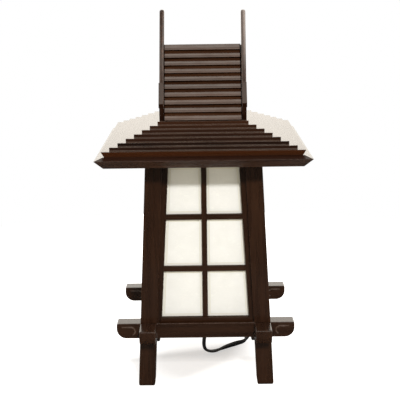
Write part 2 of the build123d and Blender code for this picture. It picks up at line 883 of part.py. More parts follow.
rocker_side = Plane(
    (switch_x, switch_middle, axle_level),
    x_dir=(0, cos(radians(rocker_tilt)), -sin(radians(rocker_tilt))),
    z_dir=(1, 0, 0),
)
rocker_half = rocker_length / 2
rocker_rise = rocker_half * tan(radians(rocker_tilt))
with BuildPart() as switch_rocker:
    with BuildSketch(rocker_side):
        Circle(rocker_half)
        Polygon(
            (-rocker_half, -rocker_body),
            (rocker_half, -rocker_body),
            (rocker_half, rocker_crown + rocker_rise),
            (0, rocker_crown),
            (-rocker_half, rocker_crown + rocker_rise),
            align=None,
            mode=Mode.INTERSECT,
        )
    extrude(amount=rocker_width / 2, both=True)
    with BuildSketch(rocker_side):
        Circle(axle_radius)
    extrude(amount=rocker_width / 2 + axle_length, both=True)
save(switch_rocker.part, "switch_rocker")

# ---------------------------------------------------------------- plug

pin_face = plug_back - plug_length
pin_spots = [(plug_x - pin_pitch / 2, plug_level), (plug_x + pin_pitch / 2, plug_level)]

with BuildPart() as plug_body:
    with BuildSketch(Plane.XY.offset(plug_level - plug_height / 2)):
        Polygon(
            (plug_x - plug_neck / 2, plug_back),
            (plug_x - plug_width / 2, pin_face + plug_shoulder),
            (plug_x - plug_width / 2, pin_face),
            (plug_x + plug_width / 2, pin_face),
            (plug_x + plug_width / 2, pin_face + plug_shoulder),
            (plug_x + plug_neck / 2, plug_back),
            align=None,
        )
    extrude(amount=plug_height)
    fillet(plug_body.edges().filter_by(Axis.Z), plug_round)
    with BuildSketch(Plane.XZ.offset(-pin_face)):
        with Locations(*pin_spots):
            Rectangle(pin_thickness + 2 * pin_gap, pin_width + 2 * pin_gap)
    extrude(amount=-(pin_root + pin_gap), mode=Mode.SUBTRACT)
save(plug_body.part, "plug_body")

pins = []
for spot in pin_spots:
    with BuildPart() as pin:
        with BuildSketch(Plane.XZ.offset(-pin_face - pin_root)):
            with Locations(spot):
                Rectangle(pin_thickness, pin_width)
        extrude(amount=pin_root + pin_length)
        chamfer(pin.faces().sort_by(Axis.Y)[0].edges(), pin_ease)
    pins.append(pin)
save(group(pins), "plug_pins")
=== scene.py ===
"""Looks for the andon lantern: camera, light, cord, dressed pieces and materials, in metres."""

import math

import bmesh
import bpy
from mathutils import Matrix, Vector


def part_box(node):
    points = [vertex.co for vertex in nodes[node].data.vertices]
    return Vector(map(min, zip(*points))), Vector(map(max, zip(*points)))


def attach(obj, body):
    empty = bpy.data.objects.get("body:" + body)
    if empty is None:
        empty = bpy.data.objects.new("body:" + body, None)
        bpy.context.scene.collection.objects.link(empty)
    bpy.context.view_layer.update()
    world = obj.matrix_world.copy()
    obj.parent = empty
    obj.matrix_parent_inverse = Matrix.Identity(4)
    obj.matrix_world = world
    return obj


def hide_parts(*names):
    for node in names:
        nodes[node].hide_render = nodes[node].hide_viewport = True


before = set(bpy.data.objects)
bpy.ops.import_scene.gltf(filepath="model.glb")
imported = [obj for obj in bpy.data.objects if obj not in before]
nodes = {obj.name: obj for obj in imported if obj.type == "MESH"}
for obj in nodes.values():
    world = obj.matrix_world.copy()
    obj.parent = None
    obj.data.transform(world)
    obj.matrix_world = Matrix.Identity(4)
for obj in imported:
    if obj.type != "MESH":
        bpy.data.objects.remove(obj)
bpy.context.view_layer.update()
MM = 0.001
SIDES = ("front", "right", "rear", "left")
CORNERS = ("front_left", "front_right", "rear_left", "rear_right")
X, Y, Z = Vector((1, 0, 0)), Vector((0, 1, 0)), Vector((0, 0, 1))

# ---------------------------------------------------------------- camera

CAMERA_PLACE = Vector((-0.00049, -1.07196, 0.44893))
CAMERA_PAN, CAMERA_PITCH, CAMERA_ROLL = -0.0039, 0.2290, -0.0134
CAMERA_LENS = 84.79


def aim_camera(place, pan, pitch, roll, lens):
    """Camera fitted to the photograph, its angles in radians and its lens in millimetres."""
    reach = math.cos(pitch)
    forward = Vector((math.sin(pan) * reach, math.cos(pan) * reach, -math.sin(pitch)))
    level = Vector((math.cos(pan), -math.sin(pan), 0))
    upright = level.cross(forward)
    right = level * math.cos(roll) + upright * math.sin(roll)
    up = upright * math.cos(roll) - level * math.sin(roll)
    data = bpy.data.cameras.new("camera")
    data.lens, data.sensor_width = lens, 36.0
    camera = bpy.data.objects.new("camera", data)
    bpy.context.scene.collection.objects.link(camera)
    turn = Matrix((right, up, -forward)).transposed().to_4x4()
    camera.matrix_world = Matrix.Translation(place) @ turn
    bpy.context.scene.camera = camera


aim_camera(CAMERA_PLACE, CAMERA_PAN, CAMERA_PITCH, CAMERA_ROLL, CAMERA_LENS)

# ---------------------------------------------------------------- shader helpers


class Shader:
    """A material's node tree, built one node at a time round a Principled shader."""

    def __init__(self, name, tree=None):
        if tree is None:
            self.material = bpy.data.materials.new(name)
            self.material.use_nodes = True
            tree = self.material.node_tree
        self.tree = tree
        self.tree.nodes.clear()

    def add(self, kind, inputs=None, **settings):
        node = self.tree.nodes.new("ShaderNode" + kind)
        for key, value in settings.items():
            setattr(node, key, value)
        for key, value in (inputs or {}).items():
            self.feed(node.inputs[key], value)
        return node

    def feed(self, socket, value):
        if isinstance(value, bpy.types.NodeSocket):
            self.tree.links.new(value, socket)
        elif socket.type == "RGBA" and len(value) == 3:
            socket.default_value = (*value, 1.0)
        else:
            socket.default_value = value

    def math(self, operation, a, b=0.0, clamp=False):
        return self.add("Math", {0: a, 1: b}, operation=operation, use_clamp=clamp).outputs[0]

    def ramp(self, fac, stops):
        node = self.add("ValToRGB", {"Fac": fac})
        ramp = node.color_ramp
        while len(ramp.elements) < len(stops):
            ramp.elements.new(0.5)
        for element, (position, colour) in zip(ramp.elements, stops):
            element.position = position
            if isinstance(colour, float):
                colour = (colour,) * 3
            element.color = (*colour, 1.0)
        return node.outputs["Color"]

    def signed_ramp(self, distance, stops):
        """Ramp over a distance in metres of either sign, up to half a metre."""
        share = self.math("ADD", 0.5, distance)
        return self.ramp(share, [(0.5 + at, level) for at, level in stops])

    def parts(self, vector):
        """X, Y and Z of a vector, by name."""
        return self.add("SeparateXYZ", {0: vector}).outputs

    def blend(self, fac, a, b, mode="MIX"):
        mix = self.add("Mix", {0: fac, 6: a, 7: b}, data_type="RGBA", blend_type=mode)
        return mix.outputs[2]

    def scaled(self, vector, scale, turn=(0, 0, 0), shift=(0, 0, 0)):
        inputs = {"Vector": vector, "Scale": scale, "Rotation": turn, "Location": shift}
        return self.add("Mapping", inputs).outputs[0]

    def noise(self, vector, scale=1.0, detail=2.0, roughness=0.5, distortion=0.0):
        inputs = {"Vector": vector, "Scale": scale, "Detail": detail}
        inputs |= {"Roughness": roughness, "Distortion": distortion}
        return self.add("TexNoise", inputs).outputs[0]

    def bump(self, height, distance, strength=1.0):
        inputs = {"Height": height, "Distance": distance, "Strength": strength}
        return self.add("Bump", inputs).outputs[0]

    def object_place(self):
        return self.add("TexCoord").outputs["Object"]

    def principled(self, **inputs):
        names = {}
        for key, value in inputs.items():
            names[key.replace("_", " ").title().replace("Ior", "IOR")] = value
        surface = self.add("BsdfPrincipled", names)
        output = self.add("OutputMaterial")
        self.tree.links.new(surface.outputs[0], output.inputs["Surface"])
        return self.material


# ---------------------------------------------------------------- sizes that the looks follow


def span(name, axis):
    """Lowest and highest place of a CAD node along an axis."""
    low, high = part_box(name)
    return low[axis], high[axis]


# Panes of the papered lattice, and half the opening round them, which narrows upward.
MUNTIN_WIDTH, PANE_ROWS = 5.8 * MM, 3
PANE_LOW, PANE_TOP = span("front_muntins", 2)
PANE_PITCH = (PANE_TOP - PANE_LOW + MUNTIN_WIDTH) / PANE_ROWS
PANE_HEIGHT = PANE_PITCH - MUNTIN_WIDTH
OPENING_HALF, OPENING_TAPER = 53.58 * MM, 0.0586  # at floor level, and lost per unit of height

# Base bars: their axis, half their width less the depth of the carved line, and half their
# dull stretch.
BAR_INNER, BAR_OUTER = span("bar_right", 0)
BAR_AXIS = (BAR_INNER + BAR_OUTER) / 2
CARVED_AT = BAR_OUTER - BAR_AXIS - 0.5 * MM
BETWEEN_POSTS = 52 * MM

# Stepped boards, and the slatted gable that stands on the top one.
STEP_COUNT, STEP_HEIGHT = 7, 3.27 * MM
DECK = span("skirt_front", 2)[1]
STEPS_LOW, REDDER_FROM = DECK - STEP_COUNT * STEP_HEIGHT, 284 * MM
GABLE_PITCH, GABLE_REACH, SLAT_LAP = math.radians(60), 49.41 * MM, 9.4 * MM
GABLE_APEX = Vector((0, 0, DECK + GABLE_REACH * math.tan(GABLE_PITCH)))
# Where the painted shadow line at the slat ends begins, across the gable.
SLAT_SHADOW_FROM = span("front_slats", 0)[1] - 0.9 * MM

# Middles of the horns, and of the legs near the floor.
HORN_ROOT, HORN_MIDDLE = 352 * MM, span("front_bargeboards", 0)[1] - 2.5 * MM
FOOT_MIDDLE = 67.3 * MM

# ---------------------------------------------------------------- wood

# Darkest and lightest colour of each stained timber.
UMBER = ((0.0165, 0.0060, 0.0025), (0.041, 0.0155, 0.0062))
RUSSET = ((0.0085, 0.0027, 0.0012), (0.030, 0.0100, 0.0042))
TEAK = ((0.020, 0.0082, 0.0045), (0.060, 0.027, 0.0150))
CHESTNUT = ((0.022, 0.0080, 0.0034), (0.062, 0.0245, 0.0105))


def grain_place(s, place, along, shift=None):
    """Coordinates turned so that the grain runs along X."""
    turn = along.rotation_difference(X).to_euler()
    turned = s.scaled(place, (1, 1, 1), turn)
    if shift is None:
        return turned
    return s.add("VectorMath", {0: turned, 1: shift}, operation="ADD").outputs[0]


def lattice_place(s, place, across):
    """Grain along Z in the middle upright and level in the cross pieces."""
    off_middle = s.math("ABSOLUTE", s.parts(place)["X" if across is X else "Y"])
    level = s.math("GREATER_THAN", off_middle, MUNTIN_WIDTH / 2 + 0.05 * MM)
    inputs = {0: level, 4: grain_place(s, place, Z), 5: grain_place(s, place, across)}
    return s.add("Mix", inputs, data_type="VECTOR").outputs[1]


def boards_passed(s, place, direction, start, pitch):
    """How many boards a point lies past the start of the first one, along a direction."""
    dot = s.add("VectorMath", {0: place, 1: direction}, operation="DOT_PRODUCT").outputs["Value"]
    return s.math("DIVIDE", s.math("SUBTRACT", dot, start), pitch)


def arris_wear_and_highlight(s, place, width):
    """Arrises' rounded shading normal, and a broken mask of their wear and painted highlight."""
    rounded = s.add("Bevel", {"Radius": width * MM}, samples=8).outputs[0]
    flat = s.add("NewGeometry").outputs["True Normal"]
    same = s.add("VectorMath", {0: rounded, 1: flat}, operation="DOT_PRODUCT").outputs["Value"]
    edge = s.ramp(s.math("SUBTRACT", 1.0, same), [(0.005, 0.0), (0.1, 1.0)])
    broken = s.ramp(s.noise(place, scale=240, detail=4), [(0.4, 0.1), (0.62, 1.0)])
    return rounded, s.math("MULTIPLY", edge, broken)


def wood(
    name, along, tones, boards=None, across=None, arris=0.5, relief=0.2, rub_and_highlight=1.0, extra=None
):
    """Dark stained and lacquered timber: streaky grain, fine pores and a thin clear coat.

    Its tone changes from board to board, its arrises are worn and carry a painted highlight over a
    width in mm, and an extra step can be added that changes its colour and gloss, some of them
    painting light or shade.
    """
    s = Shader(name)
    place = s.object_place()
    tone, shift = 0.5, None
    if boards:
        number = s.math("FLOOR", boards_passed(s, place, *boards))
        white = s.add("TexWhiteNoise", {"W": number}, noise_dimensions="1D").outputs
        tone = white["Value"]
        stray = {0: white["Color"], 1: (0.7, 0.1, 0.1)}
        shift = s.add("VectorMath", stray, operation="MULTIPLY").outputs[0]
    at = lattice_place(s, place, across) if across else grain_place(s, place, along, shift)
    streak = s.noise(s.scaled(at, (9, 230, 230)), detail=5, roughness=0.62, distortion=0.5)
    figure = s.noise(s.scaled(at, (3.5, 46, 46), shift=(3, 1, 2)), detail=3, distortion=1.2)
    pores = s.noise(s.scaled(at, (75, 2300, 2300)), detail=2, roughness=0.4)
    pore = s.ramp(pores, [(0.54, 0.0), (0.66, 1.0)])
    mixed = s.math("ADD", s.math("MULTIPLY", streak, 0.6), s.math("MULTIPLY", figure, 0.4))
    lifted = s.math("ADD", mixed, s.math("MULTIPLY", s.math("SUBTRACT", tone, 0.5), 0.16))
    dark, light = tones
    colour = s.ramp(lifted, [(0.34, dark), (0.68, light)])
    colour = s.blend(s.math("MULTIPLY", pore, 0.45), colour, dark)
    rounded, worn = arris_wear_and_highlight(s, place, arris)
    # Worn arrises, lightened further by a painted highlight along the edges.
    rubbed_and_highlight = tuple(1.9 * c + 0.012 * rub_and_highlight for c in light)
    colour = s.blend(s.math("MULTIPLY", worn, 0.8), colour, rubbed_and_highlight)
    gloss = 1.0
    if extra:
        colour, gloss = extra(s, place, rounded, colour)
    height = s.math("SUBTRACT", s.math("MULTIPLY", streak, 0.6), s.math("MULTIPLY", pore, 0.5))
    inputs = {"Height": height, "Distance": 0.12 * MM, "Strength": relief, "Normal": rounded}
    normal = s.add("Bump", inputs).outputs[0]
    return s.principled(
        base_color=colour,
        roughness=s.math("ADD", 0.21, s.math("MULTIPLY", streak, 0.14)),
        normal=normal,
        specular_ior_level=s.math("MULTIPLY", gloss, 0.5),
        coat_weight=gloss,
        coat_roughness=0.09,
        coat_normal=normal,
    )


def bar_finish(across):
    """Carved lines drawn paler than the bar, and the duller top between the posts."""

    def finish(s, place, rounded, colour):
        apart, facing = s.parts(place), s.parts(rounded)
        side, length = ("X", "Y") if across is X else ("Y", "X")
        off = s.math("ABSOLUTE", s.math("SUBTRACT", s.math("ABSOLUTE", apart[side]), BAR_AXIS))
        carved = s.add("Math", {0: off, 1: CARVED_AT, 2: 0.2 * MM}, operation="COMPARE").outputs[0]
        outward = s.math("GREATER_THAN", s.math("ABSOLUTE", facing[side]), 0.5)
        carved = s.math("MULTIPLY", carved, outward)
        colour = s.blend(s.math("MULTIPLY", carved, 0.65), colour, (0.14, 0.088, 0.060))
        between = s.math("LESS_THAN", s.math("ABSOLUTE", apart[length]), BETWEEN_POSTS)
        dull = s.math("MULTIPLY", between, s.math("GREATER_THAN", facing["Z"], 0.8))
        return colour, s.math("SUBTRACT", 1.0, s.math("MULTIPLY", dull, 0.96))

    return finish


def barge_painted_shade_and_highlight(s, place, rounded, colour):
    """Painted shade on the upright front and foot; painted highlight outside the right horn."""
    apart, facing = s.parts(place), s.parts(rounded)
    # Painted shade: upright faces turned to the front or back are darkened, and their gloss
    # lowered.
    sheer = s.math("GREATER_THAN", s.math("ABSOLUTE", facing["Y"]), 0.7)
    upright = s.math("MULTIPLY", s.math("LESS_THAN", facing["Z"], 0.25), sheer)
    gloss = s.math("SUBTRACT", 1.0, s.math("MULTIPLY", upright, 0.8))
    colour = s.blend(s.math("MULTIPLY", upright, 0.85), colour, (0.0120, 0.0032, 0.0010))
    # Painted highlight: the outer side of the right horn is lightened towards its top.
    outer = s.ramp(s.math("DIVIDE", apart["X"], 100 * MM), [(0.446, 0.0), (0.482, 1.0)])
    high = s.ramp(apart["Z"], [(HORN_ROOT, 0.0), (HORN_ROOT + 43 * MM, 0.8)])
    return s.blend(s.math("MULTIPLY", outer, high), colour, (0.36, 0.30, 0.265)), gloss


def tread_tone_and_painted_light(s, place, rounded, colour):
    """Stepped boards redder up the slope, with painted light under the lowest lip and on top."""
    level, facing = s.parts(place)["Z"], s.parts(rounded)["Z"]
    climb = s.math("DIVIDE", s.math("SUBTRACT", level, REDDER_FROM), 18 * MM, clamp=True)
    colour = s.blend(s.math("MULTIPLY", climb, 0.55), colour, (0.070, 0.0225, 0.0072))
    # Painted reddish light on the down-facing faces under the lowest lip.
    under = s.math("LESS_THAN", facing, -0.2)
    colour = s.blend(s.math("MULTIPLY", under, 0.85), colour, (0.066, 0.0190, 0.0052))
    # Painted highlight, in patches, on the up-facing faces.
    patch = s.ramp(s.noise(place, scale=22, detail=4, roughness=0.6), [(0.3, 0.4), (0.7, 1.0)])
    upper = s.math("MULTIPLY", s.ramp(facing, [(0.45, 0.0), (0.85, 0.8)]), patch)
    return s.blend(upper, colour, (0.170, 0.118, 0.084)), 1.0


def fascia_painted_shade(s, place, rounded, colour):
    """Painted shade on the top of the eave boards' outer slope, which is also less glossy."""
    facing = s.parts(rounded)
    # Painted shade: the upward-facing outer slope is darkened.
    upper = s.math("GREATER_THAN", facing["Z"], 0.35)
    upper = s.math("MULTIPLY", upper, s.math("GREATER_THAN", s.math("ABSOLUTE", facing["Y"]), 0.2))
    gloss = s.math("SUBTRACT", 1.0, s.math("MULTIPLY", upper, 0.6))
    return s.blend(s.math("MULTIPLY", upper, 0.8), colour, (0.016, 0.0055, 0.0030)), gloss


def lattice_finish(s, place, rounded, colour):
    """Frame members left dull on top, where the polish doesn't reach."""
    upper = s.math("GREATER_THAN", s.parts(rounded)["Z"], 0.6)
    return colour, s.math("SUBTRACT", 1.0, s.math("MULTIPLY", upper, 0.97))


def slat_gloss_and_painted_shadow(side):
    """Finish rubbed thin on the open part of each slat, dark where the next one laps it, and a
    painted shadow line at the slat ends.
    """

    def finish(s, place, rounded, colour):
        share = s.math("FRACT", boards_passed(s, place, *slat_boards(side)))
        patchy = s.noise(s.scaled(place, (60, 200, 200)), detail=3)
        mottle = s.ramp(patchy, [(0.32, 0.74), (0.66, 1.0)])
        gloss = s.math("MULTIPLY", s.ramp(share, [(0.0, 0.45), (0.4, 0.85), (0.8, 1.0)]), mottle)
        # Painted shadow line: the slat ends beside the bargeboards are darkened.
        end = s.math("GREATER_THAN", s.math("ABSOLUTE", s.parts(place)["X"]), SLAT_SHADOW_FROM)
        colour = s.blend(end, colour, (0.0050, 0.0016, 0.0008))
        left = s.math("SUBTRACT", 1.0, s.math("MULTIPLY", end, 0.85))
        return colour, s.math("MULTIPLY", gloss, left)

    return finish


def pale_timber(name, along, dark, light):
    """Unfinished softwood and plywood inside the lantern."""
    s = Shader(name)
    at = grain_place(s, s.object_place(), along)
    streak = s.noise(s.scaled(at, (7, 150, 150)), detail=4, roughness=0.6, distortion=0.8)
    fine = s.noise(s.scaled(at, (60, 1900, 1900)), detail=2)
    colour = s.ramp(streak, [(0.3, dark), (0.7, light)])
    colour = s.blend(s.math("MULTIPLY", s.ramp(fine, [(0.5, 0.0), (0.7, 1.0)]), 0.3), colour, dark)
    height = s.math("ADD", s.math("MULTIPLY", streak, 0.5), s.math("MULTIPLY", fine, 0.5))
    return s.principled(
        base_color=colour,
        roughness=s.math("ADD", 0.52, s.math("MULTIPLY", fine, 0.18)),
        normal=s.bump(height, 0.15 * MM, 0.6),
        specular_ior_level=0.35,
    )


# ---------------------------------------------------------------- paper, metal, glass, mouldings


def fibres(s, place, turn, scale, width):
    """Thin wandering lines, about one way."""
    field = s.noise(s.scaled(place, scale, turn), detail=1.5, distortion=1.0)
    off = s.math("ABSOLUTE", s.math("SUBTRACT", field, 0.5))
    return s.ramp(off, [(0.0, 1.0), (width, 0.0)])


# Width by which the sheet is pasted to the lattice, seen through the paper.
PASTED = 2.6 * MM


def pane_margin(s, place, across):
    """How far inside its pane's edge a point of the paper lies."""
    apart = s.parts(place)
    off = s.math("ABSOLUTE", apart["X" if across is X else "Y"])
    up = s.math("FRACT", s.math("DIVIDE", s.math("SUBTRACT", apart["Z"], PANE_LOW), PANE_PITCH))
    up = s.math("MULTIPLY", up, PANE_PITCH)
    half = s.math("SUBTRACT", OPENING_HALF, s.math("MULTIPLY", apart["Z"], OPENING_TAPER))
    level = s.math("MINIMUM", up, s.math("SUBTRACT", PANE_HEIGHT, up))
    past_muntin = s.math("SUBTRACT", off, MUNTIN_WIDTH / 2)
    beside = s.math("MINIMUM", past_muntin, s.math("SUBTRACT", half, off))
    return s.math("MINIMUM", level, beside)


def washi(name, across):
    """White mulberry paper with long fibres, a cloudy sheet, a pasted border seen through it and
    painted shade by the frame.
    """
    s = Shader(name)
    place = s.object_place()
    cloud = s.noise(place, scale=55, detail=4, roughness=0.6)
    turns = ((0.3, 0.2, 0.5), (1.1, 0.4, -0.7), (0.1, 1.3, 1.9))
    long = [fibres(s, place, turn, (60, 190, 150), 0.010) for turn in turns]
    sparse = s.ramp(s.noise(place, scale=140, detail=1), [(0.46, 0.0), (0.6, 1.0)])
    longest = s.math("MAXIMUM", s.math("MAXIMUM", long[0], long[1]), long[2])
    threads = s.math("MULTIPLY", longest, sparse)
    sheet = s.ramp(cloud, [(0.3, (0.79, 0.78, 0.745)), (0.7, (0.84, 0.83, 0.80))])
    colour = s.blend(s.math("MULTIPLY", threads, 0.5), sheet, (0.93, 0.915, 0.86))
    inside = s.math("DIVIDE", pane_margin(s, place, across), 2 * PASTED)
    # The border: the pasted strip and its edge line, and painted shade close against the frame.
    border = s.ramp(inside, [(0.0, 0.55), (0.4, 0.35), (0.47, 0.95), (0.53, 0.95), (0.6, 0.0)])
    colour = s.blend(border, colour, (0.73, 0.70, 0.585))
    grit = s.noise(place, scale=2600, detail=2)
    raised = s.math("ADD", threads, s.math("MULTIPLY", cloud, 0.6))
    height = s.math("ADD", s.math("MULTIPLY", grit, 0.35), raised)
    return s.principled(
        base_color=colour,
        roughness=s.math("ADD", 0.72, s.math("MULTIPLY", cloud, 0.12)),
        normal=s.bump(height, 0.1 * MM, 0.5),
        specular_ior_level=0.2,
        sheen_weight=0.12,
    )


def metal(name, colour, tarnish, roughness):
    """Machined metal with fine turned lines and slight tarnish."""
    s = Shader(name)
    place = s.object_place()
    lines = s.noise(s.scaled(place, (120, 120, 5200)), detail=2)
    cloud = s.noise(place, scale=190, detail=4, roughness=0.6)
    return s.principled(
        base_color=s.ramp(cloud, [(0.35, tarnish), (0.62, colour)]),
        metallic=1.0,
        roughness=s.math("ADD", roughness, s.math("MULTIPLY", cloud, 0.16)),
        normal=s.bump(lines, 0.02 * MM, 0.4),
    )


def moulding(name, dark, light, roughness, grit, coat=0.0):
    """Moulded thermoset or vinyl: a fine spark texture and faint flow marks."""
    s = Shader(name)
    place = s.object_place()
    cloud = s.noise(place, scale=130, detail=4)
    texture = s.noise(place, scale=grit, detail=2)
    return s.principled(
        base_color=s.ramp(cloud, [(0.35, dark), (0.65, light)]),
        roughness=s.math("ADD", roughness, s.math("MULTIPLY", texture, 0.14)),
        normal=s.bump(texture, 0.03 * MM, 0.35),
        coat_weight=coat,
        coat_roughness=0.08,
    )


def opal(name):
    """Frosted white lamp glass."""
    s = Shader(name)
    frost = s.noise(s.object_place(), scale=900, detail=3)
    return s.principled(
        base_color=s.ramp(frost, [(0.3, (0.80, 0.80, 0.77)), (0.7, (0.86, 0.86, 0.83))]),
        roughness=s.math("ADD", 0.2, s.math("MULTIPLY", frost, 0.12)),
        normal=s.bump(frost, 0.02 * MM, 0.3),
        subsurface_weight=0.25,
        subsurface_radius=(0.004, 0.004, 0.004),
        coat_weight=0.3,
    )


# ---------------------------------------------------------------- which wood goes where


def slope(side):
    """Direction up a gable slope, front -1 or rear 1."""
    return Vector((0, -side * math.cos(GABLE_PITCH), math.sin(GABLE_PITCH)))


def slat_boards(side):
    """Direction, start and pitch of the slats, counted down one slope from near the ridge."""
    down = -slope(side)
    return down, down.dot(GABLE_APEX) + 10 * MM, SLAT_LAP


SKIRT_BOARDS = (Z, STEPS_LOW, STEP_HEIGHT)

WOODS = {
    "bar_x": wood("stained_bar_x", X, UMBER, arris=1.5, rub_and_highlight=8, extra=bar_finish(Y)),
    "bar_y": wood("stained_bar_y", Y, UMBER, arris=1.5, rub_and_highlight=8, extra=bar_finish(X)),
    "upright": wood("stained_upright", Z, UMBER, arris=0.7),
    "level_x": wood("stained_level_x", X, UMBER, extra=lattice_finish),
    "level_y": wood("stained_level_y", Y, UMBER, extra=lattice_finish),
    "lattice_x": wood("stained_lattice_x", X, UMBER, across=X, extra=lattice_finish),
    "lattice_y": wood("stained_lattice_y", Y, UMBER, across=Y, extra=lattice_finish),
    "skirt_x": wood("stained_skirt_x", X, RUSSET, SKIRT_BOARDS, relief=0.02, extra=tread_tone_and_painted_light),
    "skirt_y": wood("stained_skirt_y", Y, RUSSET, SKIRT_BOARDS, relief=0.02, extra=tread_tone_and_painted_light),
    "fascia": wood("stained_fascia", X, TEAK, rub_and_highlight=4, extra=fascia_painted_shade),
    "slat_front": wood("stained_slat_front", X, CHESTNUT, slat_boards(-1), extra=slat_gloss_and_painted_shadow(-1)),
    "slat_rear": wood("stained_slat_rear", X, CHESTNUT, slat_boards(1), extra=slat_gloss_and_painted_shadow(1)),
    "barge_front": wood("stained_barge_front", slope(-1), UMBER, arris=0.7, extra=barge_painted_shade_and_highlight),
    "barge_rear": wood("stained_barge_rear", slope(1), UMBER, arris=0.7, extra=barge_painted_shade_and_highlight),
    "block": wood("stained_block", slope(-1), UMBER, arris=0.7, extra=barge_painted_shade_and_highlight),
}
LEVEL = {"front": "x", "rear": "x", "left": "y", "right": "y"}
DRESSING = {
    "bar_front": "bar_x",
    "bar_rear": "bar_x",
    "bar_left": "bar_y",
    "bar_right": "bar_y",
    "post_dowels": "upright",
    "fascia_boards": "fascia",
    "soffit_boards": "fascia",
    "front_slats": "slat_front",
    "rear_slats": "slat_rear",
    "front_bargeboards": "barge_front",
    "rear_bargeboards": "barge_rear",
    "eave_blocks": "block",
    "gable_ends": "upright",
}
for corner in CORNERS:
    DRESSING[f"post_{corner}"] = "upright"
    DRESSING[f"foot_{corner}"] = "upright"
for side in SIDES:
    DRESSING[f"{side}_stiles"] = "upright"
    DRESSING[f"{side}_rails"] = f"level_{LEVEL[side]}"
    DRESSING[f"{side}_muntins"] = f"lattice_{LEVEL[side]}"
    DRESSING[f"skirt_{side}"] = f"skirt_{LEVEL[side]}"


def finish_node(name, material):
    """Gives a CAD node its only material."""
    slots = nodes[name].data.materials
    slots.clear()
    slots.append(material)


for name, kind in DRESSING.items():
    finish_node(name, WOODS[kind])

# ---------------------------------------------------------------- rounded horn tips and feet

HORN_ROUND, HORN_SHARE = 2.4 * MM, 0.8
HORN_CUTS = (-0.3, -0.08, 0.0, 0.3, 0.55, 0.75, 0.9)
HORN_LEAN, HORN_RISE = (0.3 * MM, 1.5 * MM), (1.0 * MM, 0.0)  # left and right
FOOT_ROUND, FOOT_SHARE = 4.2 * MM, 0.3
FOOT_CUTS = (0.03, 0.1, 0.22, 0.4, 0.66, 1.0)


def as_object(name, mesh, smooth_angle=50.0):
    """Object made of a bmesh, with edges sharper than an angle in degrees kept sharp."""
    bmesh.ops.recalc_face_normals(mesh, faces=mesh.faces)
    data = bpy.data.meshes.new(name)
    mesh.to_mesh(data)
    mesh.free()
    data.set_sharp_from_angle(angle=math.radians(smooth_angle))
    thing = bpy.data.objects.new(name, data)
    bpy.context.scene.collection.objects.link(thing)
    return thing


def sliced_copy(name, levels):
    """Mesh copy of a CAD node with extra edges at some heights."""
    mesh = bmesh.new()
    mesh.from_mesh(nodes[name].data)
    bmesh.ops.remove_doubles(mesh, verts=mesh.verts, dist=0.002 * MM)
    for level in levels:
        parts = mesh.verts[:] + mesh.edges[:] + mesh.faces[:]
        cut = {"plane_co": (0, 0, level), "plane_no": Z, "dist": 0.001 * MM}
        bmesh.ops.bisect_plane(mesh, geom=parts, **cut)
    return mesh


def width_left(past, share):
    """Width left part of the way through a rounding that takes a share of it."""
    return 1 - share + share * math.sqrt(max(0.0, 1 - past * past))


def carved_horns(name):
    """Bargeboard copy whose horn tips are rounded over and stray a little from true."""
    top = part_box(name)[1][2]
    mesh = sliced_copy(name, [top - HORN_ROUND * (1 - level) for level in HORN_CUTS])
    for vertex in mesh.verts:
        side = int(vertex.co.x > 0)
        middle = HORN_MIDDLE * (1 if side else -1)
        past = max(0.0, 1 - (top - vertex.co.z) / HORN_ROUND)
        vertex.co.x = middle + (vertex.co.x - middle) * width_left(past, HORN_SHARE)
        share = max(0.0, (vertex.co.z - HORN_ROOT) / (top - HORN_ROOT))
        vertex.co += share * Vector((HORN_LEAN[side], 0, HORN_RISE[side]))
    return as_object(name + "_carved", mesh, smooth_angle=40)


def worn_foot(name):
    """Foot copy, flat shaded, whose lower end is rounded over by wear."""
    mesh = sliced_copy(name, [FOOT_ROUND * level for level in FOOT_CUTS])
    for vertex in mesh.verts:
        left = width_left(max(0.0, 1 - vertex.co.z / FOOT_ROUND), FOOT_SHARE)
        for axis in (0, 1):
            middle = math.copysign(FOOT_MIDDLE, vertex.co[axis])
            vertex.co[axis] = middle + (vertex.co[axis] - middle) * left
    return as_object(name + "_worn", mesh, smooth_angle=3)


reshaped = {"front_bargeboards": carved_horns("front_bargeboards")}
for corner in CORNERS:
    reshaped[f"foot_{corner}"] = worn_foot(f"foot_{corner}")
for name, piece in reshaped.items():
    piece.data.materials.append(WOODS[DRESSING[name]])
    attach(piece, "roof" if name == "front_bargeboards" else "root")
    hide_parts(name)

# ---------------------------------------------------------------- other materials

PINE_X = pale_timber("pine_x", X, (0.42, 0.26, 0.13), (0.62, 0.43, 0.25))
PINE_Y = pale_timber("pine_y", Y, (0.42, 0.26, 0.13), (0.62, 0.43, 0.25))
PLY = pale_timber("plywood", X, (0.46, 0.31, 0.17), (0.60, 0.45, 0.28))
PAPERS = {"x": washi("washi_paper_x", X), "y": washi("washi_paper_y", Y)}
CERAMIC = moulding(
    "white_thermoset",
    (0.74, 0.73, 0.69),
    (0.80, 0.79, 0.75),
    roughness=0.22,
    grit=1500,
    coat=0.5,
)
BRASS = metal("brass", (0.66, 0.47, 0.17), (0.48, 0.32, 0.11), roughness=0.24)
ZINC = metal("zinc_steel", (0.55, 0.55, 0.56), (0.40, 0.40, 0.42), roughness=0.30)
ALUMINIUM = metal("rolled_aluminium", (0.72, 0.72, 0.73), (0.55, 0.55, 0.57), roughness=0.26)
OPAL = opal("opal_glass")
VINYL = moulding(
    "black_vinyl",
    (0.0085, 0.0085, 0.0095),
    (0.014, 0.014, 0.015),
    roughness=0.38,
    grit=1900,
)
SWITCH = moulding(
    "switch_moulding",
    (0.0075, 0.0075, 0.008),
    (0.0125, 0.0125, 0.013),
    roughness=0.26,
    grit=2600,
    coat=0.25,
)
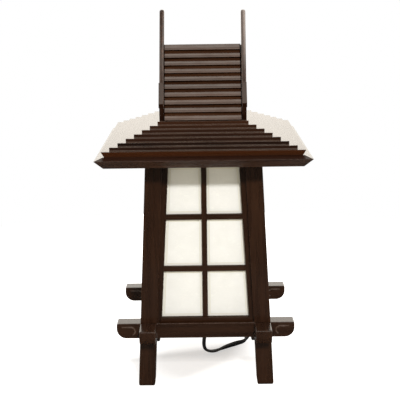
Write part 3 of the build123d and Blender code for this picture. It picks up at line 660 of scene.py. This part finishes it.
RUBBER = moulding(
    "band_rubber", (0.018, 0.018, 0.02), (0.03, 0.03, 0.032), roughness=0.5, grit=1700
)

for side in SIDES:
    finish_node(f"{side}_paper", PAPERS[LEVEL[side]])
for name, material in {
    "battens": PINE_Y,
    "roof_cleats": PINE_X,
    "ridge_batten": PINE_X,
    "base_board": PLY,
    "holder_flange": CERAMIC,
    "holder_cup": CERAMIC,
    "screw_shell": BRASS,
    "wood_screws": ZINC,
    "bulb_cap": ALUMINIUM,
    "bulb_glass": OPAL,
    "cord_relief": VINYL,
    "switch_base": SWITCH,
    "switch_cover": SWITCH,
    "switch_rocker": SWITCH,
    "plug_body": VINYL,
    "plug_pins": BRASS,
}.items():
    finish_node(name, material)

# ---------------------------------------------------------------- cord and coil


def route_line(name, points):
    """Points of the smooth line that a NURBS spline gives for a route."""
    curve = bpy.data.curves.new(name, "CURVE")
    curve.dimensions = "3D"
    curve.resolution_u = 10
    spline = curve.splines.new("NURBS")
    spline.points.add(len(points) - 1)
    for point, place in zip(spline.points, points):
        point.co = (*(v * MM for v in place), 1.0)
    spline.order_u = 3
    spline.use_endpoint_u = True
    holder = bpy.data.objects.new(name, curve)
    mesh = bpy.data.meshes.new_from_object(holder)
    line = [vertex.co.copy() for vertex in mesh.vertices]
    bpy.data.meshes.remove(mesh)
    bpy.data.objects.remove(holder)
    bpy.data.curves.remove(curve)
    return line


def twin_section(width, height, groove, steps=9):
    """Outline of a flat twin lead: two round cores with a groove between them, as (across, up)."""
    radius = height / 2
    centre = width / 2 - radius
    outline = []
    reach = math.pi - math.acos((centre - groove) / radius)
    for side in (1, -1):
        for step in range(steps):
            turn = -reach + 2 * reach * step / (steps - 1)
            across = centre + radius * math.cos(turn)
            outline.append((side * across, side * radius * math.sin(turn)))
    return outline


def swept(name, line, wides, section):
    """Tube whose section's width lies along a direction given at each point of the line."""
    mesh = bmesh.new()
    rings = []
    for index, place in enumerate(line):
        ahead = (line[min(index + 1, len(line) - 1)] - line[max(index - 1, 0)]).normalized()
        wide = wides[index] - ahead * wides[index].dot(ahead)
        wide.normalize()
        up = ahead.cross(wide)
        rings.append([mesh.verts.new(place + wide * a + up * b) for a, b in section])
    for first, second in zip(rings, rings[1:]):
        for index in range(len(section)):
            after = (index + 1) % len(section)
            mesh.faces.new((first[index], first[after], second[after], second[index]))
    mesh.faces.new(rings[0][::-1])
    mesh.faces.new(rings[-1])
    return as_object(name, mesh)


def spread_over(line, values):
    """Vector values given at a route's points, eased along its smooth line."""
    out = []
    for index in range(len(line)):
        at = index / (len(line) - 1) * (len(values) - 1)
        low = min(int(at), len(values) - 2)
        out.append(values[low].lerp(values[low + 1], at - low))
    return out


LEAD_WIDTH, LEAD_HEIGHT = 6.4 * MM, 3.3 * MM
SECTION = twin_section(LEAD_WIDTH, LEAD_HEIGHT, groove=0.45 * MM)


def level_wide(route, tilts):
    """Width directions along a route: level and square to it, then tilted up by degrees."""
    wides = []
    for index, tilt in enumerate(tilts):
        before = Vector(route[max(index - 1, 0)])
        after = Vector(route[min(index + 1, len(route) - 1)])
        level = (after - before).cross(Z).normalized()
        wides.append(level * math.cos(math.radians(tilt)) + Z * math.sin(math.radians(tilt)))
    return wides


# From the relief under the lantern to the switch behind it, in millimetres.
LEAD_ROUTE = [
    (0, 0, 44.7),
    (0, 0, 35.6),
    (-2.1, 0.7, 26.1),
    (-2.3, 3, 15.5),
    (0.8, 10.4, 7.2),
    (10, 18.8, 2.4),
    (25.2, 32.8, 3.1),
    (38.2, 43.2, 3.2),
    (47.8, 48.7, 3.3),
    (52.8, 57.6, 3.9),
    (52.4, 67.8, 5.4),
    (50, 77.2, 7.5),
    (50, 86, 7.5),
]
# Which way the lead's width lies at each of these points: as it hangs, then along the floor.
lead_wides = [Vector((0.36, -0.93, 0))] * 4 + [Vector((0.62, -0.78, 0))]
lead_wides += level_wide(LEAD_ROUTE[5:], (10, 62, 84, 62, 50, 14, 0, 0))
lead_line = route_line("lead_route", LEAD_ROUTE)
lead = swept("mains_lead", lead_line, spread_over(lead_line, lead_wides), SECTION)

# From the switch to the coil, and from the coil to the plug, in millimetres.
FEED_ROUTE = [
    (50, 142, 7.5),
    (50, 150.3, 7.5),
    (46.3, 159.1, 5.4),
    (39.6, 165.8, 3.3),
    (30.8, 169.3, 2.0),
    (15, 170.2, 1.9),
    (-3, 169.8, 1.9),
]
TAIL_ROUTE = [
    (-5.5, 163.2, 11.6),
    (-18.5, 164.6, 12.6),
    (-31, 161.8, 13.5),
    (-42, 154.5, 14.8),
    (-49.8, 144, 16.6),
    (-52.7, 133, 17.25),
    (-52.7, 123.5, 17.25),
]
COIL_CENTRE = (-16.0, 126.0)
# Radius and height of each turn, from the lowest up.
TURNS = [(41.9, 1.9), (34.9, 1.9), (34.9, 5.35), (41.9, 5.35), (41.9, 8.8), (35.1, 8.8)]
POINTS_PER_TURN = 16
CROSSING = 67.5  # degrees in which the lead passes from one turn to the next
LIFTING = 240  # degrees after which the last turn opens and rises to the plug


def coil_points(turns, start, end):
    """Points of turns given as (radius, height) in mm, from one polar angle to another."""
    points = []
    step = 360 / POINTS_PER_TURN
    total = int((len(turns) * 360 + end - start) / step)
    for index in range(1, total + 1):
        angle = index * step
        turn = min(int(angle // 360), len(turns) - 1)
        radius, height = turns[turn]
        past = angle - turn * 360
        if turn and past < CROSSING:
            share = 0.5 - 0.5 * math.cos(math.pi * past / CROSSING)
            radius = turns[turn - 1][0] + share * (radius - turns[turn - 1][0])
            height = turns[turn - 1][1] + share * (height - turns[turn - 1][1])
        radius += 0.35 * math.sin(2.3 * index + turn)
        if turn == len(turns) - 1 and past > LIFTING:
            radius += 3.9 * (past - LIFTING) / 90
            height += 0.6 * (past - LIFTING) / 90
        place = math.radians(start + angle)
        across, along = radius * math.cos(place), radius * math.sin(place)
        points.append((COIL_CENTRE[0] + across, COIL_CENTRE[1] + along, height))
    return points


COILED_ROUTE = coil_points(TURNS, start=90.0, end=60.0) + TAIL_ROUTE
coil_wides = level_wide(FEED_ROUTE, (0, 0, 8, 20, 12, 0, 0))
coil_wides += level_wide(COILED_ROUTE, [0] * len(COILED_ROUTE))
coil_line = route_line("coil_route", FEED_ROUTE + COILED_ROUTE)
coil = swept("coiled_lead", coil_line, spread_over(coil_line, coil_wides), SECTION)
for piece in (lead, coil):
    piece.data.materials.append(VINYL)
    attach(piece, "root")
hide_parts("cord")
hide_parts("cord_coil")


def coil_tie(polar):
    """Flat rubber band closed round the bundle of turns at a polar angle in degrees."""
    outward = Vector((math.cos(math.radians(polar)), math.sin(math.radians(polar)), 0))
    along = outward.cross(Z)
    bundle_radius, bundle_height = 38.3 * MM, 5.6 * MM
    middle = Vector((COIL_CENTRE[0] * MM, COIL_CENTRE[1] * MM, bundle_height))
    middle += outward * bundle_radius
    band_half, thickness, steps = 2.2 * MM, 0.5 * MM, 40
    half_wide, half_high, squareness = 7.9 * MM, 5.5 * MM, 0.34
    mesh = bmesh.new()
    rings = []
    for step in range(steps):
        turn = 2 * math.pi * step / steps
        across, up = math.cos(turn), math.sin(turn)
        across, up = (math.copysign(abs(v) ** squareness, v) for v in (across, up))
        outer = (half_wide * across, half_high * up)
        inner = (outer[0] * (1 - thickness / half_wide), outer[1] * (1 - thickness / half_high))
        pinch = 1 - 0.06 * math.sin(turn * 2) ** 2
        ring = []
        for (a, b), side in ((outer, -1), (outer, 1), (inner, 1), (inner, -1)):
            corner = middle + outward * a * pinch + Z * b + along * side * band_half
            ring.append(mesh.verts.new(corner))
        rings.append(ring)
    for first, second in zip(rings, rings[1:] + rings[:1]):
        for index in range(4):
            after = (index + 1) % 4
            mesh.faces.new((first[index], first[after], second[after], second[index]))
    return as_object("coil_band", mesh, smooth_angle=40)


band = coil_tie(polar=330)
band.data.materials.append(RUBBER)
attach(band, "root")

# ---------------------------------------------------------------- floor, world and lamps

# Where the lantern's shadow fades out on the floor, in metres behind it and to its right.
SHADOW_BEHIND, SHADOW_BESIDE = (0.028, 0.046), (0.022, 0.050)
SHADOW_SKEW, SHADOW_SLANTS = 0.3, (-1.0, -0.3)
SHADOW_LEVEL, OUT_OF_SHADOW = 0.55, 0.34


def lay_floor(radius):
    """Pale floor that keeps the lantern's shadow and fades into the white background.

    The shadow lies in a wedge under the lantern, as in the photograph, so the floor is paler
    behind it and to its right.
    """
    mesh = bmesh.new()
    bmesh.ops.create_circle(mesh, cap_ends=True, segments=96, radius=radius)
    thing = as_object("floor", mesh)
    s = Shader("floor")
    place = s.object_place()
    away = s.add("VectorMath", {0: place}, operation="LENGTH").outputs["Value"]
    haze = s.ramp(s.math("DIVIDE", away, radius), [(0.07, 0.0), (0.15, 0.5), (0.7, 1.0)])
    apart = s.parts(place)
    skewed = s.math("SUBTRACT", apart["Y"], s.math("MULTIPLY", apart["X"], SHADOW_SKEW))
    behind = s.signed_ramp(skewed, zip(SHADOW_BEHIND, (0.0, 1.0)))
    slants = [s.math("MULTIPLY", apart["Y"], slant) for slant in SHADOW_SLANTS]
    beside = s.math("ADD", apart["X"], s.math("MAXIMUM", *slants))
    beside = s.signed_ramp(beside, zip(SHADOW_BESIDE, (0.0, 1.0)))
    # Painted shadow: a band of floor just in front of the lantern, given less glow below.
    painted_shadow_band = s.signed_ramp(apart["Y"], [(-0.007, 0.0), (-0.003, 1.0), (0.005, 1.0), (0.012, 0.0)])
    # Painted light: the floor glows more behind the lantern and to its right, painting out its
    # shadow there.
    lit = s.math("MULTIPLY", s.math("MAXIMUM", behind, beside), OUT_OF_SHADOW)
    lit = s.math("SUBTRACT", lit, s.math("MULTIPLY", painted_shadow_band, 0.09))
    path = s.add("LightPath").outputs
    level = s.math("ADD", s.math("ADD", SHADOW_LEVEL, lit), s.math("MULTIPLY", haze, 0.85))
    glow = s.math("MULTIPLY", path["Is Camera Ray"], level)
    cloud = s.noise(place, scale=9, detail=3)
    colour = s.ramp(cloud, [(0.3, (0.57, 0.558, 0.545)), (0.7, (0.59, 0.578, 0.565))])
    # Painted shade, seen only in reflections: the floor in front of the lantern is dark for glossy
    # rays.
    shaded_front_in_reflections = s.signed_ramp(apart["Y"], [(-0.06, 0.035), (0.06, 0.58)])
    colour = s.blend(path["Is Diffuse Ray"], colour, (0.90, 0.84, 0.67))
    colour = s.blend(path["Is Glossy Ray"], colour, shaded_front_in_reflections)
    thing.data.materials.append(
        s.principled(
            base_color=colour,
            roughness=0.85,
            specular_ior_level=0.1,
            emission_color=(1.0, 0.985, 0.965),
            emission_strength=glow,
        )
    )


lay_floor(radius=0.75)

# How bright polished surfaces see the room, by degrees of rise from the front over the top.
ROOM_LEVELS = [
    (-180, 1.0),
    (-95, 0.9),
    (-70, 0.15),
    (-20, 0.05),
    (-8, 0.03),
    (30, 0.03),
    (42, 1.1),
    (54, 1.1),
    (60, 0.2),
    (74, 0.15),
    (86, 1.9),
    (97, 1.9),
    (104, 0.7),
    (125, 0.9),
    (158, 0.95),
    (170, 1.3),
    (180, 1.3),
]


def studio(ambient):
    """White background; soft even light; and what polished surfaces see of the room."""
    world = bpy.data.worlds.new("studio")
    world.use_nodes = True
    bpy.context.scene.world = world
    s = Shader("studio", world.node_tree)
    apart = s.parts(s.add("TexCoord").outputs["Generated"])
    rise = s.math("ARCTAN2", apart["Z"], s.math("MULTIPLY", apart["Y"], -1.0))
    share = s.math("ADD", s.math("DIVIDE", rise, 2 * math.pi), 0.5)
    room = s.ramp(share, [((angle + 180) / 360, 0.5 * level) for angle, level in ROOM_LEVELS])
    room = s.blend(1.0, room, (2.0, 1.88, 1.70), "MULTIPLY")
    beside = s.ramp(s.math("ABSOLUTE", apart["X"]), [(0.72, 0.0), (0.95, 0.22)])
    room = s.blend(1.0, room, beside, "LIGHTEN")
    path = s.add("LightPath").outputs
    shiny = s.math("MAXIMUM", path["Is Glossy Ray"], path["Is Transmission Ray"])
    below = s.signed_ramp(s.math("MULTIPLY", apart["Z"], 0.5), [(-0.08, 0.0), (0.08, 1.0)])
    soft = s.blend(below, tuple(ambient * c for c in (1.12, 1.0, 0.74)), (ambient,) * 3)
    colour = s.blend(shiny, soft, room)
    colour = s.blend(path["Is Camera Ray"], colour, (1.0, 1.0, 1.0))
    background = s.add("Background", {"Color": colour, "Strength": 1.0})
    output = s.add("OutputWorld")
    s.tree.links.new(background.outputs[0], output.inputs["Surface"])


studio(ambient=0.5)


def lamp(name, place, target, size, power):
    """Round soft lamp, in metres and watts, that no polished surface shows."""
    data = bpy.data.lights.new(name, "AREA")
    data.shape, data.size, data.energy = "DISK", size, power
    thing = bpy.data.objects.new(name, data)
    bpy.context.scene.collection.objects.link(thing)
    thing.location = place
    thing.rotation_euler = (Vector(target) - Vector(place)).to_track_quat("-Z", "Y").to_euler()
    thing.visible_glossy = False


lamp("key", (0.25, -1.65, 1.17), target=(0, 0, 0.17), size=0.16, power=26.0)
lamp("overhead", (0.0, 0.05, 1.7), target=(0, 0, 0.2), size=1.1, power=4.0)

# ---------------------------------------------------------------- end

bpy.context.scene.view_settings.view_transform = "Standard"
